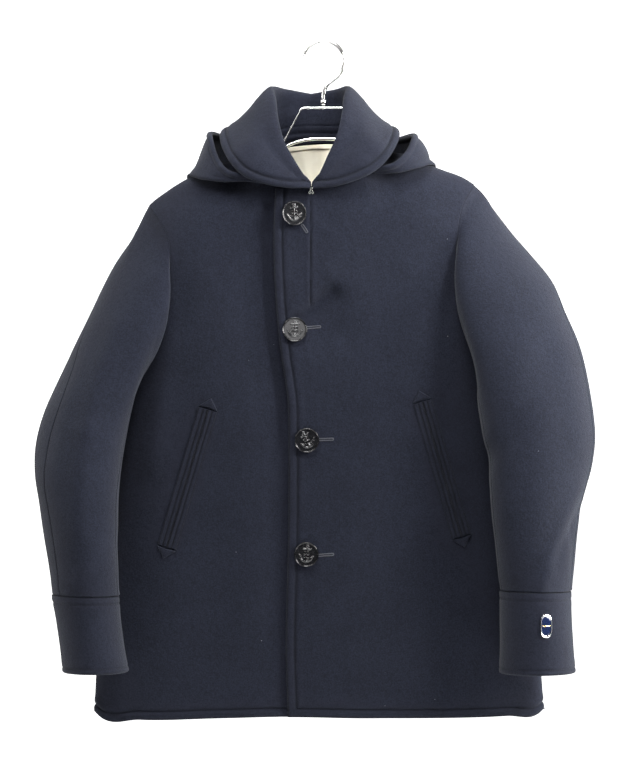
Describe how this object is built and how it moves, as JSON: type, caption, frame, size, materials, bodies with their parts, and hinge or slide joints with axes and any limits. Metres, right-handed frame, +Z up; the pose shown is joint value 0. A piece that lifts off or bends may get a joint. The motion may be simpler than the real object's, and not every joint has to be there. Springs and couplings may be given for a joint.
{
  "type": "hooded coat on a hanger",
  "caption": "Hip-length navy felted wool coat with a rolled collar and a hood lying behind it, buttoned up and hanging on a chrome wire hanger.",
  "frame": {"origin": "inner top of the hanger's hook, where a rail holds it", "axes": "+Z up, +Y out of the coat's back, +X to the viewer's right when the front is seen"},
  "size_m": [0.7255, 0.2728, 0.8987],
  "materials": {
    "navy_wool": "felted wool, matt, with a fine nap",
    "pale_lining": "smooth lining cloth",
    "black_button": "glossy",
    "chrome": "polished",
    "blue_enamel": "enamel"
  },
  "bodies": {
    "root": {"front_left": "navy_wool", "front_right": "navy_wool", "back": "navy_wool", "sleeve_top_left": "navy_wool", "sleeve_under_left": "navy_wool", "cuff_left": "navy_wool", "hood_left": "navy_wool", "welt_front_left": "navy_wool", "welt_side_left": "navy_wool", "tab_upper_left": "navy_wool", "tab_lower_left": "navy_wool", "sleeve_top_right": "navy_wool", "sleeve_under_right": "navy_wool", "cuff_right": "navy_wool", "hood_right": "navy_wool", "welt_front_right": "navy_wool", "welt_side_right": "navy_wool", "tab_upper_right": "navy_wool", "tab_lower_right": "navy_wool", "collar": "navy_wool", "back_lining": "pale_lining", "button_1": "black_button", "button_2": "black_button", "button_3": "black_button", "button_4": "black_button", "neck_hook": "chrome", "neck_eye": "chrome", "hanger_hook": "chrome", "hanger_ferrule": "chrome", "hanger_bracket": "chrome", "hanger_arm_left": "chrome", "hanger_arm_right": "chrome", "cuff_pin": "blue_enamel"}
  },
  "joints": []
}
